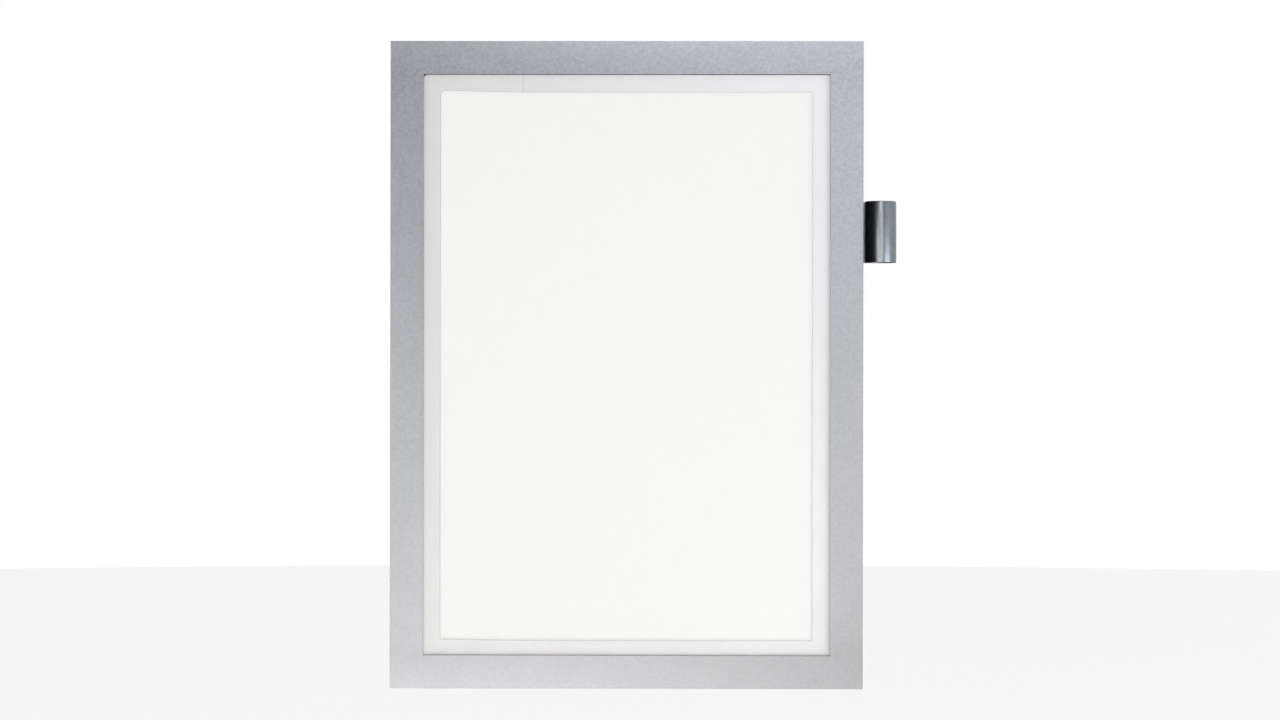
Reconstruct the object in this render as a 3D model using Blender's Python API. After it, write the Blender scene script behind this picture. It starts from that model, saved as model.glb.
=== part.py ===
"""Self-adhesive display frame for an upright A4 sheet, in metres, with +Z up.

The frame faces -Y and sticks to a wall at y = 0. The origin is the middle of the top adhesive
strip's back. From the wall forwards come the adhesive strips, a clear back film, a ring of four
magnetic strips round the pocket that holds the sheet, and a cover that swings about its left edge.
The cover is a clear film with a writing opening, four magnetic strips and a silver facing. A film
strip, folded along its middle, hinges the cover. A sleeve for a pen is taped behind the border at
the right.

Sheets are outlines drawn as seen from the front and extruded by their thickness. The pen holder
and the hinge are profiles drawn as seen from above and extruded along Z.
"""

import math

import bmesh
import bpy
from mathutils import Vector

# The sheet of paper, which sets the size of the frame round it
SHEET_WIDTH = 0.210
SHEET_HEIGHT = 0.297
SHEET_THICKNESS = 0.00012

# The border and its window
BORDER_WIDTH = 0.0165
BORDER_OVER_SHEET = 0.0035
WINDOW_RELIEF_RADIUS = 0.0004

# The pocket between the magnetic strips of the back
POCKET_CLEARANCE = 0.001
SHEET_FOOT_GAP = 0.0001

# The lips of front film inside the window, round the opening through which the sheet is written on
FILM_LIP_LEFT = 0.00855
FILM_LIP_RIGHT = 0.00895
FILM_LIP_TOP = 0.00905
FILM_LIP_BOTTOM = 0.00745
WRITING_OPENING_CORNER_RADIUS = 0.002

# Thicknesses of the layers, and the glue line between two of them
BACK_FILM_THICKNESS = 0.0003
BACK_MAGNET_THICKNESS = 0.0005
FRONT_FILM_THICKNESS = 0.00025
FRONT_MAGNET_THICKNESS = 0.00075
FACING_THICKNESS = 0.00015
GLUE_LINE = 0.00005

# The saw-cut gap where two magnetic strips butt together
MAGNET_JOINT_GAP = 0.0002

# The adhesive strips on the back, set in alike from both edges of the border
ADHESIVE_EDGE_INSET = 0.00225
ADHESIVE_END_GAP = 0.002

# The folded film strip that hinges the cover
HINGE_FILM_THICKNESS = 0.0001
HINGE_LEAF_WIDTH = 0.011
HINGE_LEAF_GAP = 0.0001
HINGE_END_INSET = 0.001
HINGE_AXIS_OFFSET = 0.00015

# The pen holder, a sleeve with a tab along its back
PEN_SLEEVE_DIAMETER = 0.0155
PEN_SLEEVE_WALL = 0.0012
PEN_SLEEVE_LENGTH = 0.0305
PEN_SLEEVE_GAP = 0.0005
PEN_HOLDER_DROP = 0.0953
PEN_TAB_THICKNESS = 0.0005
PEN_TAB_END_INSET = 0.0025
PEN_TAB_WALL_GAP = 0.00005
PEN_TAB_FILLET = 0.0006
PEN_RIM_ROUND = 0.0003
PEN_TAB_STRIP_GAP = 0.002
PEN_PAD_THICKNESS = 0.0002
PEN_PAD_MARGIN = 0.001

# Facets of the round shapes
SLEEVE_FACETS = 64
CORNER_FACETS = 6
RELIEF_FACETS = 12
FOLD_FACETS = 8
FILLET_FACETS = 4
RIM_FACETS = 2
SHARP_ANGLE_DEG = 35.0

# Sizes in the plane of the frame that follow from the sheet
WINDOW_WIDTH = SHEET_WIDTH - 2 * BORDER_OVER_SHEET
WINDOW_HEIGHT = SHEET_HEIGHT - 2 * BORDER_OVER_SHEET
FRAME_WIDTH = WINDOW_WIDTH + 2 * BORDER_WIDTH
FRAME_HEIGHT = WINDOW_HEIGHT + 2 * BORDER_WIDTH
POCKET_WIDTH = SHEET_WIDTH + 2 * POCKET_CLEARANCE
POCKET_HEIGHT = SHEET_HEIGHT + 2 * POCKET_CLEARANCE
ADHESIVE_WIDTH = BORDER_WIDTH - 2 * ADHESIVE_EDGE_INSET
PEN_TAB_REACH = BORDER_WIDTH - PEN_TAB_END_INSET

# Places in the plane of the frame, from the origin behind the top adhesive strip
FRAME_TOP = ADHESIVE_EDGE_INSET + ADHESIVE_WIDTH / 2
FRAME_CENTRE_Z = FRAME_TOP - FRAME_HEIGHT / 2
FRAME_BOTTOM = FRAME_TOP - FRAME_HEIGHT
PEN_HOLDER_Z = FRAME_TOP - PEN_HOLDER_DROP

# The adhesive strips are as thick as the pen holder's tab and pad, so that the frame lies flat
ADHESIVE_THICKNESS = PEN_TAB_WALL_GAP + PEN_TAB_THICKNESS + GLUE_LINE + PEN_PAD_THICKNESS

# Depths from the wall to the back of each layer
PEN_PAD_BACK = PEN_TAB_WALL_GAP + PEN_TAB_THICKNESS + GLUE_LINE
BACK_FILM_BACK = ADHESIVE_THICKNESS + GLUE_LINE
POCKET_FLOOR = BACK_FILM_BACK + BACK_FILM_THICKNESS
SHEET_BACK = POCKET_FLOOR + GLUE_LINE
BACK_MAGNET_BACK = POCKET_FLOOR + GLUE_LINE
BACK_MAGNET_FRONT = BACK_MAGNET_BACK + BACK_MAGNET_THICKNESS
HINGE_BACK = BACK_MAGNET_FRONT + GLUE_LINE
HINGE_FRONT = HINGE_BACK + 2 * HINGE_FILM_THICKNESS + HINGE_LEAF_GAP
FRONT_FILM_BACK = HINGE_FRONT + GLUE_LINE
FRONT_MAGNET_BACK = FRONT_FILM_BACK + FRONT_FILM_THICKNESS + GLUE_LINE
FACING_BACK = FRONT_MAGNET_BACK + FRONT_MAGNET_THICKNESS + GLUE_LINE

# The vertical line that the cover turns about
HINGE_AXIS = Vector(
    (-FRAME_WIDTH / 2 - HINGE_AXIS_OFFSET, -(HINGE_BACK + HINGE_FRONT) / 2, FRAME_CENTRE_Z)
)


def clear_scene():
    """Removes what a new file starts with."""
    for old in list(bpy.data.objects):
        bpy.data.objects.remove(old, do_unlink=True)


def make_material(name, colour, roughness, metallic=0.0, alpha=1.0):
    """A Principled material with one plain finish."""
    material = bpy.data.materials.new(name)
    material.use_nodes = True
    shader = material.node_tree.nodes["Principled BSDF"]
    shader.inputs["Base Color"].default_value = (*colour, 1.0)
    shader.inputs["Roughness"].default_value = roughness
    shader.inputs["Metallic"].default_value = metallic
    shader.inputs["Alpha"].default_value = alpha
    material.diffuse_color = (*colour, alpha)
    return material


def arc(centre_x, centre_y, radius, start_deg, end_deg, facets):
    """Points along an arc, both ends included, counted anticlockwise if end is past start."""
    turns = [start_deg + (end_deg - start_deg) * i / facets for i in range(facets + 1)]
    return [
        (centre_x + radius * math.cos(math.radians(t)), centre_y + radius * math.sin(math.radians(t)))
        for t in turns
    ]


def rectangle(width, height):
    """A rectangle about its own centre, anticlockwise."""
    half_w, half_h = width / 2, height / 2
    return [(-half_w, -half_h), (half_w, -half_h), (half_w, half_h), (-half_w, half_h)]


def rounded_rectangle(width, height, radius):
    """A rectangle whose corners are quarter rounds inside it."""
    points = []
    corners = ((1, 1, 0), (-1, 1, 90), (-1, -1, 180), (1, -1, 270))
    for side_x, side_y, start_deg in corners:
        centre_x = side_x * (width / 2 - radius)
        centre_y = side_y * (height / 2 - radius)
        points += arc(centre_x, centre_y, radius, start_deg, start_deg + 90, CORNER_FACETS)
    return points


def relieved_rectangle(width, height, radius):
    """A rectangle whose corners are cut over by a round knife relief, as in a die-cut window."""
    points = []
    corners = ((1, 1, -90), (-1, 1, 0), (-1, -1, 90), (1, -1, 180))
    for side_x, side_y, start_deg in corners:
        centre_x = side_x * width / 2
        centre_y = side_y * height / 2
        points += arc(centre_x, centre_y, radius, start_deg, start_deg + 270, RELIEF_FACETS)
    return points


def extrude_outlines(name, outlines, placed, step):
    """A solid between filled outlines, the first of them outside the others, and their copy."""
    mesh = bpy.data.meshes.new(name)
    shape = bmesh.new()
    for outline in outlines:
        ring = [shape.verts.new(placed(a, b)) for a, b in outline]
        for here, after in zip(ring, ring[1:] + ring[:1]):
            shape.edges.new((here, after))
    filled = bmesh.ops.triangle_fill(shape, edges=list(shape.edges), use_beauty=True)
    faces = [item for item in filled["geom"] if isinstance(item, bmesh.types.BMFace)]
    grown = bmesh.ops.extrude_face_region(shape, geom=faces, use_keep_orig=True)
    moved = [item for item in grown["geom"] if isinstance(item, bmesh.types.BMVert)]
    bmesh.ops.translate(shape, verts=moved, vec=step)
    bmesh.ops.recalc_face_normals(shape, faces=list(shape.faces))
    shape.to_mesh(mesh)
    shape.free()
    return mesh


def add_object(name, mesh, location, material, parent):
    """Puts a mesh into the scene at a place given from the origin."""
    piece = bpy.data.objects.new(name, mesh)
    bpy.context.scene.collection.objects.link(piece)
    mesh.materials.append(material)
    piece.parent = parent
    piece.location = Vector(location) - parent.location
    return piece


def add_sheet(name, outlines, centre_x, centre_z, back, thickness, material, parent):
    """A flat piece seen from the front, whose back lies at a depth from the wall."""
    mesh = extrude_outlines(name, outlines, lambda x, z: (x, 0, z), (0, -thickness, 0))
    return add_object(name, mesh, (centre_x, -back, centre_z), material, parent)


def add_profile(name, outlines, centre, length, material, parent):
    """A piece with one section all along Z, drawn as seen from above and centred on its length."""
    mesh = extrude_outlines(
        name, outlines, lambda x, y: (x, y, -length / 2), (0, 0, length)
    )
    return add_object(name, mesh, centre, material, parent)


def add_strip(name, low_x, high_x, low_z, high_z, back, thickness, material, parent):
    """A rectangular strip between two corners."""
    outline = rectangle(high_x - low_x, high_z - low_z)
    centre_x, centre_z = (low_x + high_x) / 2, (low_z + high_z) / 2
    return add_sheet(name, [outline], centre_x, centre_z, back, thickness, material, parent)


def add_empty(name, location):
    """A point that pieces hang from."""
    point = bpy.data.objects.new(name, None)
    bpy.context.scene.collection.objects.link(point)
    point.location = location
    return point


def add_adhesive_strips(material, parent):
    """Strips near the edges of the back. The right one leaves room for the pen holder's tab."""
    half_width = FRAME_WIDTH / 2 - ADHESIVE_EDGE_INSET
    inner = half_width - ADHESIVE_WIDTH
    top, bottom = FRAME_TOP - ADHESIVE_EDGE_INSET, FRAME_BOTTOM + ADHESIVE_EDGE_INSET
    side_top = top - ADHESIVE_WIDTH - ADHESIVE_END_GAP
    side_bottom = bottom + ADHESIVE_WIDTH + ADHESIVE_END_GAP
    tab_half = PEN_SLEEVE_LENGTH / 2 + PEN_TAB_STRIP_GAP
    places = {
        "adhesive_strip_top": (-half_width, half_width, top - ADHESIVE_WIDTH, top),
        "adhesive_strip_bottom": (-half_width, half_width, bottom, bottom + ADHESIVE_WIDTH),
        "adhesive_strip_left": (-half_width, -inner, side_bottom, side_top),
        "adhesive_strip_right_upper": (inner, half_width, PEN_HOLDER_Z + tab_half, side_top),
        "adhesive_strip_right_lower": (inner, half_width, side_bottom, PEN_HOLDER_Z - tab_half),
    }
    for name, corners in places.items():
        add_strip(name, *corners, 0, ADHESIVE_THICKNESS, material, parent)


def add_magnet_ring(name, opening_width, opening_height, back, thickness, material, parent):
    """Four magnetic strips butted round an opening, the upper and lower ones full width."""
    half_width = FRAME_WIDTH / 2
    inner_x, inner_z = opening_width / 2, opening_height / 2
    upper, lower = FRAME_CENTRE_Z + inner_z, FRAME_CENTRE_Z - inner_z
    side_top, side_bottom = upper - MAGNET_JOINT_GAP, lower + MAGNET_JOINT_GAP
    places = {
        "top": (-half_width, half_width, upper, FRAME_TOP),
        "bottom": (-half_width, half_width, FRAME_BOTTOM, lower),
        "left": (-half_width, -inner_x, side_bottom, side_top),
        "right": (inner_x, half_width, side_bottom, side_top),
    }
    for side, corners in places.items():
        add_strip(f"{name}_{side}", *corners, back, thickness, material, parent)


def add_back_film(material, parent):
    """The clear panel that everything behind the cover is glued to."""
    outline = rectangle(FRAME_WIDTH, FRAME_HEIGHT)
    add_sheet(
        "back_film", [outline], 0, FRAME_CENTRE_Z, BACK_FILM_BACK, BACK_FILM_THICKNESS, material, parent
    )


def add_insert_sheet(material, parent):
    """The blank sheet, which stands on the lower magnetic strip of the back."""
    foot = FRAME_CENTRE_Z - POCKET_HEIGHT / 2 + SHEET_FOOT_GAP
    outline = rectangle(SHEET_WIDTH, SHEET_HEIGHT)
    centre_z = foot + SHEET_HEIGHT / 2
    add_sheet("insert_sheet", [outline], 0, centre_z, SHEET_BACK, SHEET_THICKNESS, material, parent)


def add_front_film(material, parent):
    """The clear window, with the opening that leaves the sheet free to write on."""
    width = WINDOW_WIDTH - FILM_LIP_LEFT - FILM_LIP_RIGHT
    height = WINDOW_HEIGHT - FILM_LIP_TOP - FILM_LIP_BOTTOM
    centre_x = (FILM_LIP_LEFT - FILM_LIP_RIGHT) / 2
    centre_z = (FILM_LIP_BOTTOM - FILM_LIP_TOP) / 2
    corners = rounded_rectangle(width, height, WRITING_OPENING_CORNER_RADIUS)
    opening = [(centre_x + x, centre_z + z) for x, z in corners]
    outlines = [rectangle(FRAME_WIDTH, FRAME_HEIGHT), opening]
    add_sheet(
        "front_film", outlines, 0, FRAME_CENTRE_Z, FRONT_FILM_BACK, FRONT_FILM_THICKNESS, material, parent
    )


def add_facing(material, parent):
    """The silver face of the border, one die-cut ring."""
    window = relieved_rectangle(WINDOW_WIDTH, WINDOW_HEIGHT, WINDOW_RELIEF_RADIUS)
    outlines = [rectangle(FRAME_WIDTH, FRAME_HEIGHT), window]
    add_sheet("facing", outlines, 0, FRAME_CENTRE_Z, FACING_BACK, FACING_THICKNESS, material, parent)


def add_hinge_strip(material, parent):
    """A film strip folded along its middle, one leaf glued to each side of the closing gap."""
    inner_radius = HINGE_LEAF_GAP / 2
    outer_radius = inner_radius + HINGE_FILM_THICKNESS
    outer = arc(0, 0, outer_radius, 90, 270, FOLD_FACETS)
    inner = arc(0, 0, inner_radius, 270, 90, FOLD_FACETS)
    profile = [
        (HINGE_LEAF_WIDTH, outer_radius),
        *outer,
        (HINGE_LEAF_WIDTH, -outer_radius),
        (HINGE_LEAF_WIDTH, -inner_radius),
        *inner,
        (HINGE_LEAF_WIDTH, inner_radius),
    ]
    centre = (-FRAME_WIDTH / 2, HINGE_AXIS.y, FRAME_CENTRE_Z)
    length = FRAME_HEIGHT - 2 * HINGE_END_INSET
    add_profile("hinge_strip", [profile], centre, length, material, parent)


def pen_holder_outline(radius, tab_end):
    """The outer outline of the sleeve and its tab, about the sleeve's centre, back towards +Y."""
    tab_front = radius - PEN_TAB_THICKNESS
    meets_at_deg = 180 - math.degrees(math.asin(tab_front / radius))
    sleeve = arc(0, 0, radius, 90, meets_at_deg - 360, SLEEVE_FACETS)
    return [*sleeve, (tab_end, tab_front), (tab_end, radius)]


def round_edges(shape, edges, radius, facets):
    """Rounds edges of a bmesh shape."""
    bmesh.ops.bevel(
        shape,
        geom=edges,
        offset=radius,
        offset_type="OFFSET",
        segments=facets,
        profile=0.5,
        affect="EDGES",
    )


def is_upright(edge):
    """Whether an edge runs the length of the sleeve."""
    return abs(edge.verts[0].co.z - edge.verts[1].co.z) > PEN_SLEEVE_LENGTH / 2


def is_on_ring(edge, radius):
    """Whether both ends of an edge lie on one end of a cylinder about the sleeve's axis."""
    level = abs(edge.verts[0].co.z - edge.verts[1].co.z) < PEN_RIM_ROUND
    return level and all(abs(v.co.xy.length - radius) < PEN_RIM_ROUND / 2 for v in edge.verts)


def finish_pen_holder(mesh, radius):
    """Fills the hollow edge where the tab runs into the sleeve, and rounds the bore's two rims."""
    tab_front = radius - PEN_TAB_THICKNESS
    meets = Vector((-math.sqrt(radius**2 - tab_front**2), tab_front))
    shape = bmesh.new()
    shape.from_mesh(mesh)
    upright = [edge for edge in shape.edges if is_upright(edge)]
    hollow = min(upright, key=lambda edge: max((v.co.xy - meets).length for v in edge.verts))
    round_edges(shape, [hollow], PEN_TAB_FILLET, FILLET_FACETS)
    rims = [edge for edge in shape.edges if is_on_ring(edge, radius - PEN_SLEEVE_WALL)]
    round_edges(shape, rims, PEN_RIM_ROUND, RIM_FACETS)
    bmesh.ops.recalc_face_normals(shape, faces=list(shape.faces))
    shape.to_mesh(mesh)
    shape.free()


def add_pen_holder(material, parent):
    """An extruded sleeve, open at both ends, with a tab that reaches behind the border."""
    radius = PEN_SLEEVE_DIAMETER / 2
    centre = (
        FRAME_WIDTH / 2 + PEN_SLEEVE_GAP + radius,
        -PEN_TAB_WALL_GAP - radius,
        PEN_HOLDER_Z,
    )
    tab_end = FRAME_WIDTH / 2 - PEN_TAB_REACH - centre[0]
    bore = arc(0, 0, radius - PEN_SLEEVE_WALL, 0, 360, SLEEVE_FACETS)[:-1]
    outlines = [pen_holder_outline(radius, tab_end), bore]
    holder = add_profile("pen_holder", outlines, centre, PEN_SLEEVE_LENGTH, material, parent)
    finish_pen_holder(holder.data, radius)
    holder.data.shade_smooth()
    holder.data.set_sharp_from_angle(angle=math.radians(SHARP_ANGLE_DEG))


def add_pen_holder_pad(material, parent):
    """The thin adhesive pad between the tab and the back film."""
    low_x = FRAME_WIDTH / 2 - PEN_TAB_REACH + PEN_PAD_MARGIN
    high_x = FRAME_WIDTH / 2 - PEN_PAD_MARGIN
    half_height = PEN_SLEEVE_LENGTH / 2 - PEN_PAD_MARGIN
    add_strip(
        "pen_holder_pad",
        low_x,
        high_x,
        PEN_HOLDER_Z - half_height,
        PEN_HOLDER_Z + half_height,
        PEN_PAD_BACK,
        PEN_PAD_THICKNESS,
        material,
        parent,
    )


def main():
    clear_scene()
    wall_point = add_empty("wall_point", (0, 0, 0))
    cover_axis = add_empty("cover_axis", HINGE_AXIS)

    adhesive = make_material("white_foam_adhesive", (0.78, 0.78, 0.75), 0.8)
    clear_film = make_material("clear_film", (0.9, 0.91, 0.92), 0.15, alpha=0.35)
    magnet = make_material("magnetic_sheet", (0.05, 0.045, 0.045), 0.6)
    paper = make_material("white_paper", (0.9, 0.9, 0.89), 0.85)
    hinge_film = make_material("hinge_film", (0.7, 0.71, 0.73), 0.3, alpha=0.7)
    silver = make_material("silver_print", (0.45, 0.46, 0.48), 0.4, metallic=0.8)
    graphite = make_material("graphite_plastic", (0.2, 0.21, 0.24), 0.25, metallic=0.3)

    add_adhesive_strips(adhesive, wall_point)
    add_back_film(clear_film, wall_point)
    add_magnet_ring(
        "back_magnet",
        POCKET_WIDTH,
        POCKET_HEIGHT,
        BACK_MAGNET_BACK,
        BACK_MAGNET_THICKNESS,
        magnet,
        wall_point,
    )
    add_insert_sheet(paper, wall_point)
    add_hinge_strip(hinge_film, wall_point)
    add_pen_holder_pad(adhesive, wall_point)
    add_pen_holder(graphite, wall_point)

    add_front_film(clear_film, cover_axis)
    add_magnet_ring(
        "front_magnet",
        WINDOW_WIDTH,
        WINDOW_HEIGHT,
        FRONT_MAGNET_BACK,
        FRONT_MAGNET_THICKNESS,
        magnet,
        cover_axis,
    )
    add_facing(silver, cover_axis)


main()
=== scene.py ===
"""Looks of a self-adhesive display frame for an upright A4 sheet.

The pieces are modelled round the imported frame, in metres, with +Z up and the frame's face towards
-Y. Each operator makes one piece, or a group of like pieces, with Blender's own modelling tools.
"""

import math

import bmesh
import bpy
from bpy.props import FloatProperty, FloatVectorProperty, IntProperty, PointerProperty
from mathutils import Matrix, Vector


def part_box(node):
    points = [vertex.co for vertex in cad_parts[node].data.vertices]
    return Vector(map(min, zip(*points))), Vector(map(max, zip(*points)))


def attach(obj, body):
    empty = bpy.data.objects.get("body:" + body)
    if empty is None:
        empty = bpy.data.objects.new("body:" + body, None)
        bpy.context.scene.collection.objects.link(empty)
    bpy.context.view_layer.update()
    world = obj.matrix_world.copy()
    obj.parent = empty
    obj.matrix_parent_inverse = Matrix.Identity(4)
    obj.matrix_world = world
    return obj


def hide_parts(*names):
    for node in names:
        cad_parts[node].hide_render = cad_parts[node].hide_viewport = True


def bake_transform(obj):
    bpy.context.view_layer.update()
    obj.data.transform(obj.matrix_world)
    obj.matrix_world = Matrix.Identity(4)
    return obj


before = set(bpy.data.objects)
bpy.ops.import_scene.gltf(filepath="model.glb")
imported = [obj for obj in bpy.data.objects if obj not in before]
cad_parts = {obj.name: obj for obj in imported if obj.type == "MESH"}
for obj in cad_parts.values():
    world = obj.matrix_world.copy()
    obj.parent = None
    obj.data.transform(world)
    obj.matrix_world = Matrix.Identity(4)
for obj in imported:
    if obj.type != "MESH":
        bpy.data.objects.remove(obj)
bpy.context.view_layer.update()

bl_info = {
    "name": "Self-adhesive display frame",
    "version": (1, 0, 0),
    "blender": (4, 5, 0),
    "location": "3D View > Sidebar > Display Frame",
    "description": "Models a self-adhesive display frame with a magnetic cover and a pen holder",
    "category": "Object",
}

# Points closer than NEAR are taken as one, and a cutting tool reaches OVERRUN past its piece
NEAR = 0.000001
OVERRUN = 0.001

# The sides of a ring of strips, as they are named in the frame
SIDES = ("top", "bottom", "left", "right")
ADHESIVE_SIDES = ("top", "bottom", "left", "right_upper", "right_lower")

# The front softboxes stand in a plane before the face, one step apart
WARM = (1, 0.94, 0.88)
NEUTRAL = (1, 1, 1)
COOL = (0.94, 0.97, 1)
FRONT = -1.3
STEP = 0.25
SMALL = (0.25, 0.25)

# Name, place from the middle of the face, width and height, power in watts and colour of each softbox
SOFTBOXES = (
    ("left", (-2 * STEP, FRONT, 0), SMALL, 1.0, NEUTRAL),
    ("low_left", (-STEP, FRONT, -2 * STEP), SMALL, 1.8, NEUTRAL),
    ("lower_left", (-STEP, FRONT, -STEP), SMALL, 0.55, WARM),
    ("middle_left", (-STEP, FRONT, 0), SMALL, 0.4, NEUTRAL),
    ("upper_left", (-STEP, FRONT, STEP), SMALL, 0.07, COOL),
    ("lower_middle", (0, FRONT, -STEP), SMALL, 1.0, WARM),
    ("upper_middle", (0, FRONT, 2 * STEP), SMALL, 2.0, NEUTRAL),
    ("lower_right", (STEP, FRONT, -STEP), SMALL, 0.65, WARM),
    ("middle_right", (STEP, FRONT, 0), SMALL, 0.65, NEUTRAL),
    ("upper_right", (STEP, FRONT, STEP), SMALL, 0.65, NEUTRAL),
    ("low_right", (1.1, -0.9, -0.6), (1.0, 1.0), 14.0, NEUTRAL),
    ("left_fill", (-1.45, -1.4, 0), (1.6, 1.6), 14.5, NEUTRAL),
    ("behind", (0.5, 1.6, 0.8), (1.2, 1.2), 12.0, NEUTRAL),
    ("back_fill", (-0.1, 1.8, 0.1), (2.4, 1.6), 22.0, NEUTRAL),
)

# Where the room's right side, ceiling and ground start and are in full, as shares of a direction
RIGHT_SHARES = (0.0, 0.7)
CEILING_SHARES = (0.5, 0.85)
GROUND_SHARES = (-0.65, -0.9)


def window_corners(ring):
    """The lowest and highest corner of the opening inside a ring of four strips."""
    low = Vector((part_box(f"{ring}_left")[1].x, 0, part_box(f"{ring}_bottom")[1].z))
    high = Vector((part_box(f"{ring}_right")[0].x, 0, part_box(f"{ring}_top")[0].z))
    return low, high


def hole_corners(node):
    """The lowest and highest corner of the hole in a flat node, from its points inside its outline."""
    low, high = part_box(node)
    margin = (high.x - low.x) / 100
    points = [v.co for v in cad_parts[node].data.vertices]
    inner = [p for p in points if low.x + margin < p.x < high.x - margin]
    inner = [p for p in inner if low.z + margin < p.z < high.z - margin]
    hole_low = Vector((min(p.x for p in inner), low.y, min(p.z for p in inner)))
    hole_high = Vector((max(p.x for p in inner), high.y, max(p.z for p in inner)))
    return hole_low, hole_high


# Sizes and colours


class DISPLAYFRAME_PG_facing(bpy.types.PropertyGroup):
    """The silver face of the border"""

    edge_round: FloatProperty(
        name="Edge Round", description="Radius of the die-cut edges", default=0.00005, unit="LENGTH"
    )
    silver: FloatVectorProperty(
        name="Silver", description="Colour of the print", subtype="COLOR", default=(0.227, 0.235, 0.252)
    )
    cut_edge: FloatVectorProperty(
        name="Cut Edge", description="Colour of the cut film", subtype="COLOR", default=(0.5, 0.5, 0.51)
    )
    cut_marks: FloatProperty(
        name="Cut Marks", description="Size of the marks on the cut edge", default=0.0003, unit="LENGTH"
    )
    grain: FloatProperty(name="Grain", description="Size of the print's grain", default=0.0014, unit="LENGTH")
    grain_depth: FloatProperty(
        name="Grain Depth", description="Depth of the print's grain", default=0.000001, unit="LENGTH"
    )
    contrast: FloatProperty(
        name="Contrast", description="How far the grain darkens and pales", default=0.14, subtype="FACTOR"
    )
    calm_level: FloatProperty(
        name="Calm Level", description="Height at which the grain is faintest", default=-0.3, unit="LENGTH"
    )
    # Painted shading on the upper and lower bars, standing in for how light falls on slightly rounded bars
    fade: FloatProperty(
        name="Fade", description="How much paler the print is along the upper and lower edge", default=0.16
    )
    painted_shading_start: FloatProperty(
        name="Fade Start",
        description="From the window's ends to where the fade starts",
        default=0.02,
        unit="LENGTH",
    )
    wear: FloatProperty(name="Wear", description="Size of the worn patches", default=0.02, unit="LENGTH")


class DISPLAYFRAME_PG_film(bpy.types.PropertyGroup):
    """The clear films"""

    tint: FloatVectorProperty(
        name="Tint", description="Colour of the film", subtype="COLOR", default=(0.42, 0.422, 0.523)
    )
    # Painted sheen: the cover's film is painted paler towards the upper right, standing in for the lamps'
    # reflection on it
    painted_sheen: FloatProperty(
        name="Haze", description="How much paler the cover's upper right is", default=0.6, subtype="FACTOR"
    )
    painted_sheen_sides: FloatVectorProperty(
        name="Haze Sides",
        description="Places to the left and the right between which the haze grows",
        size=2,
        default=(-0.1, 0.1),
        unit="LENGTH",
    )
    painted_sheen_levels: FloatVectorProperty(
        name="Haze Levels",
        description="Heights between which the haze grows",
        size=2,
        default=(-0.3, 0.0),
        unit="LENGTH",
    )
    opacity: FloatProperty(
        name="Opacity", description="Share of light that one face stops", default=0.12, subtype="FACTOR"
    )
    index: FloatProperty(
        name="Index", description="Index of refraction, high to make up for the low opacity", default=2.6
    )
    cloud: FloatProperty(
        name="Cloud", description="Size of the faint clouds in the film", default=0.02, unit="LENGTH"
    )
    wave: FloatProperty(
        name="Wave", description="Size of the waves in the film", default=0.015, unit="LENGTH"
    )
    ripple: FloatProperty(name="Ripple", description="Depth of the waves", default=0.00005, unit="LENGTH")
    wear: FloatProperty(name="Wear", description="How much rougher and smoother the film gets", default=0.02)
    edge_round: FloatProperty(
        name="Edge Round", description="Radius of the back film's edges", default=0.00005, unit="LENGTH"
    )
    rim: FloatProperty(
        name="Rim", description="Width of the whitened rim along a cut", default=0.0003, unit="LENGTH"
    )
    corners: FloatVectorProperty(
        name="Corners",
        description="Radius at the opening's upper left, upper right, lower left and lower right",
        size=4,
        default=(0.0024, 0.0007, 0.0006, 0.0005),
        unit="LENGTH",
    )
    top_lift: FloatProperty(
        name="Top Lift", description="Rise of the opening's upper left end", default=0.0008, unit="LENGTH"
    )
    bottom_lift: FloatProperty(
        name="Bottom Lift", description="Rise of the opening's lower left end", default=0.0005, unit="LENGTH"
    )
    lift_balance: FloatProperty(
        name="Lift Balance", description="Share of that rise at the right end", default=0.2, subtype="FACTOR"
    )
    lift_span: FloatProperty(
        name="Lift Span", description="How much of the edge rises", default=0.22, subtype="FACTOR"
    )
    crease_side: FloatProperty(
        name="Crease Side", description="Sideways place of the crease", default=-0.0521, unit="LENGTH"
    )
    crease_width: FloatProperty(
        name="Crease Width", description="Width of the crease", default=0.0014, unit="LENGTH"
    )
    crease_height: FloatProperty(
        name="Crease Height", description="How far the crease stands up", default=0.0002, unit="LENGTH"
    )
    crease_lip: FloatProperty(
        name="Crease Lip", description="How much of the lip stands up in full", default=0.001, unit="LENGTH"
    )
    # Also used as painted shade on one flank of the crease
    rim_and_crease_shade_tint: FloatVectorProperty(
        name="Rim Tint", description="Colour of the whitened rim", subtype="COLOR", default=(0.38, 0.38, 0.4)
    )
    rim_opacity: FloatProperty(
        name="Rim Opacity", description="Share of light that one face stops", default=0.3, subtype="FACTOR"
    )
    rim_marks: FloatProperty(
        name="Rim Marks", description="Size of the stress marks in the rim", default=0.0006, unit="LENGTH"
    )


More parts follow.
